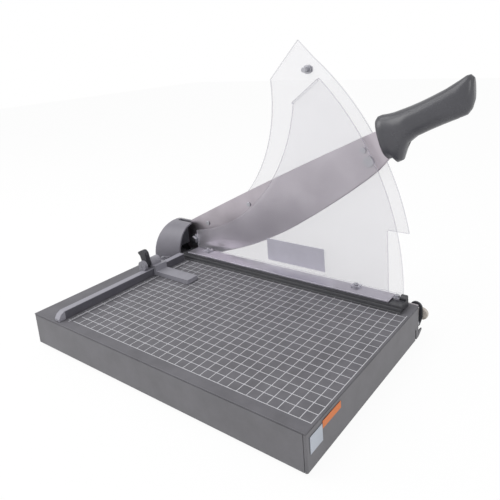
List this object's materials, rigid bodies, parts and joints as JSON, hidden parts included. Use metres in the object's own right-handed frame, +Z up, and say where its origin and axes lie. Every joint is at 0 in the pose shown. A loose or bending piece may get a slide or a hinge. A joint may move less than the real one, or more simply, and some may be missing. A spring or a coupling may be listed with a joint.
{
  "type": "guillotine paper cutter",
  "caption": "Bench guillotine paper cutter: gridded board with fence, sliding stop, clamp bar, clear guards and a hinged blade arm with a grip.",
  "frame": {"origin": "centre of the bounding box at its lowest face, the plane of the four feet", "axes": "+X along the cut, from the pivot end to the handle end; +Y from the operator's side to the blade; +Z up"},
  "size_m": [0.5012, 0.3042, 0.3843],
  "materials": {
    "board_paint": "satin charcoal grey powder coat with a printed light grey half-inch grid",
    "body_paint": "satin charcoal grey powder coat",
    "black_paint": "satin black coat",
    "blade_steel": "ground and brushed along its length",
    "zinc_steel": "bright zinc plate",
    "aluminium": "satin anodised",
    "fence_plastic": "fine texture, light grey printed top",
    "black_plastic": "fine texture",
    "housing_plastic": "satin moulded",
    "stop_plastic": "satin moulded",
    "handle_plastic": "semi-gloss moulded",
    "knob_plastic": "satin moulded",
    "clear_guard": "clear polished sheet with faint grey edges",
    "rubber": "matt",
    "label_grey": "printed vinyl, plain",
    "label_orange": "printed vinyl, plain"
  },
  "bodies": {
    "base": {"base_shell": "body_paint", "board_plate": "board_paint", "stiffener_front": "body_paint", "stiffener_rear": "body_paint", "foot_front_left": "rubber", "foot_front_right": "rubber", "foot_rear_left": "rubber", "foot_rear_right": "rubber", "bed_knife": "blade_steel", "bed_knife_screw_1": "zinc_steel", "bed_knife_screw_2": "zinc_steel", "fence": "fence_plastic", "fence_screw_front": "zinc_steel", "fence_screw_rear": "zinc_steel", "pivot_bracket": "black_paint", "bracket_screw_1": "zinc_steel", "bracket_screw_2": "zinc_steel", "pivot_washer": "zinc_steel", "pivot_bolt": "zinc_steel", "friction_washer": "black_plastic", "pivot_nut": "zinc_steel", "housing_cover": "housing_plastic", "housing_end_cap_front": "black_plastic", "housing_end_cap_rear": "black_plastic", "housing_screw": "zinc_steel", "clamp_guide_left": "zinc_steel", "clamp_guide_right": "zinc_steel", "rear_guard": "clear_guard", "rear_guard_screw_1": "zinc_steel", "rear_guard_screw_2": "zinc_steel", "rear_guard_screw_3": "zinc_steel", "rear_guard_spacer": "zinc_steel", "arm_stop_pin": "zinc_steel", "latch_pin": "zinc_steel", "side_label": "label_grey", "side_strip": "label_orange"},
    "arm": {"blade": "blade_steel", "handle_tang": "zinc_steel", "blade_screw_upper": "zinc_steel", "blade_screw_lower": "zinc_steel", "blade_rivet_1": "zinc_steel", "blade_rivet_2": "zinc_steel", "handle_front": "handle_plastic", "handle_rear": "handle_plastic", "handle_screw_1": "zinc_steel", "handle_screw_2": "zinc_steel"},
    "clamp": {"clamp_bar": "black_paint", "clamp_pad": "rubber", "clamp_strip": "aluminium", "clamp_end_block": "black_plastic", "front_guard": "clear_guard", "front_guard_screw_1": "zinc_steel", "front_guard_screw_2": "zinc_steel", "front_guard_screw_3": "zinc_steel", "guard_label": "label_grey"},
    "paper_stop": {"paper_stop": "stop_plastic", "stop_axle": "zinc_steel"},
    "stop_lever": {"stop_lever": "black_plastic"},
    "latch": {"latch_hook": "black_plastic", "latch_knob": "knob_plastic"}
  },
  "joints": [
    {"name": "arm_pivot", "type": "hinge", "parent": "base", "child": "arm", "pos_m": [-0.20645, 0.11653, 0.0673], "axis": [0, 1, 0], "range_deg": [-17, 28]},
    {"name": "clamp_lift", "type": "slide", "parent": "base", "child": "clamp", "axis": [0, 0, 1], "range_m": [0, 0.005]},
    {"name": "stop_slide", "type": "slide", "parent": "base", "child": "paper_stop", "axis": [0, 1, 0], "range_m": [-0.14, 0.036]},
    {"name": "lever_turn", "type": "hinge", "parent": "paper_stop", "child": "stop_lever", "pos_m": [-0.20495, 0.0081, 0.0644], "axis": [0, 1, 0], "range_deg": [-50, 0]},
    {"name": "latch_swing", "type": "hinge", "parent": "base", "child": "latch", "pos_m": [0.17895, 0.126, 0.0163], "axis": [0, 1, 0], "range_deg": [-35, 0]}
  ]
}
